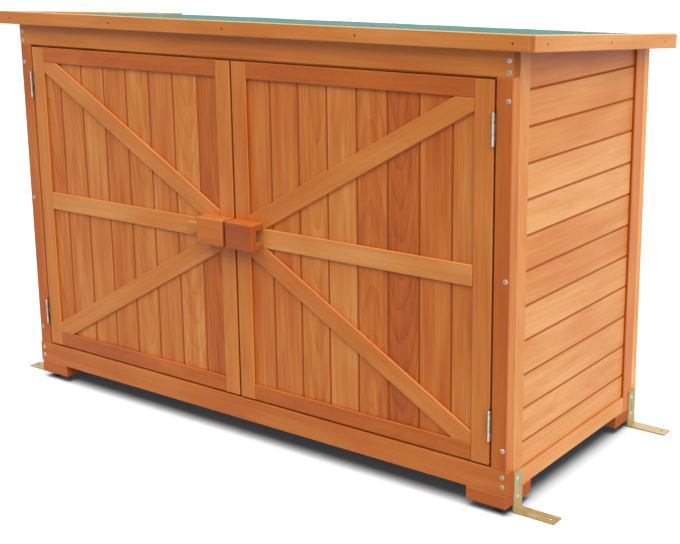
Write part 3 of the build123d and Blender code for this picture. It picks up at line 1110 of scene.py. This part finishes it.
def trim_nails():
    """Nails through the fascia and the bargeboards."""
    low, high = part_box("front_fascia")
    barge_low, barge_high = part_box("right_bargeboard")
    places = []
    for step in each_way(FASCIA_NAIL_STEPS):
        places.append((Vector((step * FASCIA_NAIL_PITCH, low.y, high.z - TRIM_NAIL_DROP)), FRONT))
    for step in each_way(BARGE_NAIL_STEPS):
        y = step * BARGE_NAIL_PITCH
        z = barge_high.z - (y - barge_low.y) * ROOF_FALL - TRIM_NAIL_DROP
        for sign in SIGNS:
            places.append((Vector((sign * barge_high.x, y, z)), sign * AXES[X]))
    fasteners("trim_nails", places, NAIL_RADIUS, NAIL_HEIGHT, NAIL_STEEL, crossed=False)


def felt_nails():
    """Flat-headed nails along the felt's back and side edges and in its turned-down back edge."""
    low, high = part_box("roof_felt")

    def on_top(x, y):
        """A place on the felt's top, and the way that a nail there faces."""
        return Vector((x, y, high.z - (y - low.y) * ROOF_FALL)), UP

    back_row = [step * FELT_NAIL_PITCH for step in each_way(FELT_NAIL_STEPS)]
    places = [on_top(x, high.y - FELT_NAIL_INSET) for x in back_row]
    for sign in SIGNS:
        places += [on_top(sign * (high.x - FELT_NAIL_INSET), y) for y in FELT_SIDE_NAILS]
    for step in each_way(FOLD_NAIL_STEPS):
        place = Vector((step * FOLD_NAIL_PITCH, high.y, low.z + FOLD_NAIL_RISE))
        places.append((place, BACK))
    fasteners("felt_nails", places, CLOUT_RADIUS, CLOUT_HEIGHT, BRIGHT_STEEL, crossed=False)


front_screws()
bracket_screws()
hinge_screws()
trim_nails()
felt_nails()


# Fittings that keep their CAD solids

def finish_node(name, material):
    """Gives a CAD node that stays a better material."""
    for material_slot in frame["nodes"][name].material_slots:
        material_slot.link = "OBJECT"
        material_slot.material = material


finish_node("ground_brackets", ZINC)
finish_node("foot_pads", RUBBER)
finish_node("hinge_frame_leaves", STEEL)
for side in SIDES:
    finish_node(side + "_hinge_door_leaves", STEEL)


# Floor, light and camera

BASE_PIECES = (
    "front_sill_timber",
    "back_sill_timber",
    "left_side_rail_timber",
    "right_side_rail_timber",
    "floor_planks",
    "floor_bearers_timber",
    "foot_blocks_timber",
    "foot_pads",
    "ground_brackets",
)
INNER_PIECES = (
    "back_planks",
    "back_stiles_timber",
    "back_top_rail_timber",
    "left_side_planks",
    "left_front_post_timber",
    "left_back_post_timber",
)


def camera_rays(tree):
    """1 for rays that see the surface from the camera, straight or in a reflection, and 0 for light."""
    path = node(tree, "LightPath").outputs
    seen = math_node(tree, "MAXIMUM", path["Is Camera Ray"], path["Is Glossy Ray"])
    return math_node(tree, "MAXIMUM", seen, path["Is Transmission Ray"])


def pale_floor():
    """A wide floor that is white to the camera and throws little light back at the object."""
    mesh = bpy.data.meshes.new("floor")
    reach = FLOOR_REACH
    corners = [(-reach, -reach, 0), (reach, -reach, 0), (reach, reach, 0), (-reach, reach, 0)]
    mesh.from_pydata(corners, [], [(0, 1, 2, 3)])
    floor = bpy.data.objects.new("floor", mesh)
    bpy.context.scene.collection.objects.link(floor)
    material = bpy.data.materials.new("floor")
    material.use_nodes = True
    tree = material.node_tree
    tree.nodes.clear()
    grey = (FLOOR_BOUNCE, FLOOR_BOUNCE, FLOOR_BOUNCE, 1.0)
    colour = node(tree, "MixRGB", {"Fac": camera_rays(tree), "Color1": grey, "Color2": FLOOR_WHITE})
    matt = node(tree, "BsdfDiffuse", {"Color": colour.outputs["Color"]})
    node(tree, "OutputMaterial", {"Surface": matt.outputs[0]})
    mesh.materials.append(material)
    return floor


def studio_world():
    """White to the camera, and a weak light from all round for the object."""
    world = bpy.data.worlds.new("studio")
    world.use_nodes = True
    tree = world.node_tree
    tree.nodes.clear()
    light = node(tree, "Background", {"Color": WHITE, "Strength": AMBIENT})
    white = node(tree, "Background", {"Color": WHITE, "Strength": 1.0})
    mix = node(
        tree, "MixShader", {0: camera_rays(tree), 1: light.outputs[0], 2: white.outputs[0]}
    )
    node(tree, "OutputWorld", {"Surface": mix.outputs[0]})
    bpy.context.scene.world = world


def soft_sun(name, towards, strength, softness, tint=PLAIN, only=(), sparing=(), blockers=()):
    """A wide, even light from the direction given. It falls on the pieces in only, or on all but those
    in sparing, and blockers are the pieces that shade it, where not all of them do."""
    light = bpy.data.lights.new(name, "SUN")
    light.energy = strength
    light.color = tint
    light.angle = math.radians(softness)
    lamp = bpy.data.objects.new(name, light)
    bpy.context.scene.collection.objects.link(lamp)
    lamp.rotation_mode = "QUATERNION"
    lamp.rotation_quaternion = Vector(towards).to_track_quat("Z", "Y")
    lit = bpy.data.collections.new(name)
    for piece in (*only, *sparing):
        lit.objects.link(piece)
    for entry in lit.collection_objects:
        entry.light_linking.link_state = "INCLUDE" if only else "EXCLUDE"
    lamp.light_linking.receiver_collection = lit
    if blockers:
        shading = bpy.data.collections.new(name + "_blockers")
        for piece in blockers:
            shading.objects.link(piece)
        lamp.light_linking.blocker_collection = shading


def photo_camera():
    """The camera, placed, turned and shifted as fitted to the photograph."""
    data = bpy.data.cameras.new("camera")
    data.sensor_width = SENSOR_WIDTH
    data.lens = FOCAL_PIXELS * SENSOR_WIDTH / IMAGE_WIDTH
    data.shift_y = CAMERA_SHIFT
    data.clip_end = CAMERA_REACH
    camera = bpy.data.objects.new("camera", data)
    bpy.context.scene.collection.objects.link(camera)
    level = Vector((-math.sin(CAMERA_TURN), math.cos(CAMERA_TURN), 0))
    right = Vector((math.cos(CAMERA_TURN), math.sin(CAMERA_TURN), 0))
    forward = level * math.cos(CAMERA_TILT) + UP * math.sin(CAMERA_TILT)
    above = UP * math.cos(CAMERA_TILT) - level * math.sin(CAMERA_TILT)
    side = right * math.cos(CAMERA_ROLL) + above * math.sin(CAMERA_ROLL)
    top = above * math.cos(CAMERA_ROLL) - right * math.sin(CAMERA_ROLL)
    turn = Matrix((side, top, -forward)).transposed().to_4x4()
    camera.matrix_world = Matrix.Translation(CAMERA_PLACE) @ turn
    bpy.context.scene.camera = camera


floor = pale_floor()
studio_world()
base = [bpy.data.objects[name] for name in BASE_PIECES]
inner = [bpy.data.objects[name] for name in INNER_PIECES]
soft_sun("floor_light", *FLOOR_LAMP, only=[floor], blockers=base)
soft_sun("under_the_base", *BASE_LAMP, tint=COOL, only=[floor], blockers=[floor])
soft_sun("from_behind", *BACK_LAMP, sparing=[floor])
soft_sun("from_the_front", *FRONT_LAMP, sparing=[floor])
soft_sun("from_the_right", *RIGHT_LAMP, sparing=[floor])
soft_sun("inside", *INNER_LAMP, only=inner, blockers=[floor])
photo_camera()
bpy.context.scene.view_settings.view_transform = "Standard"
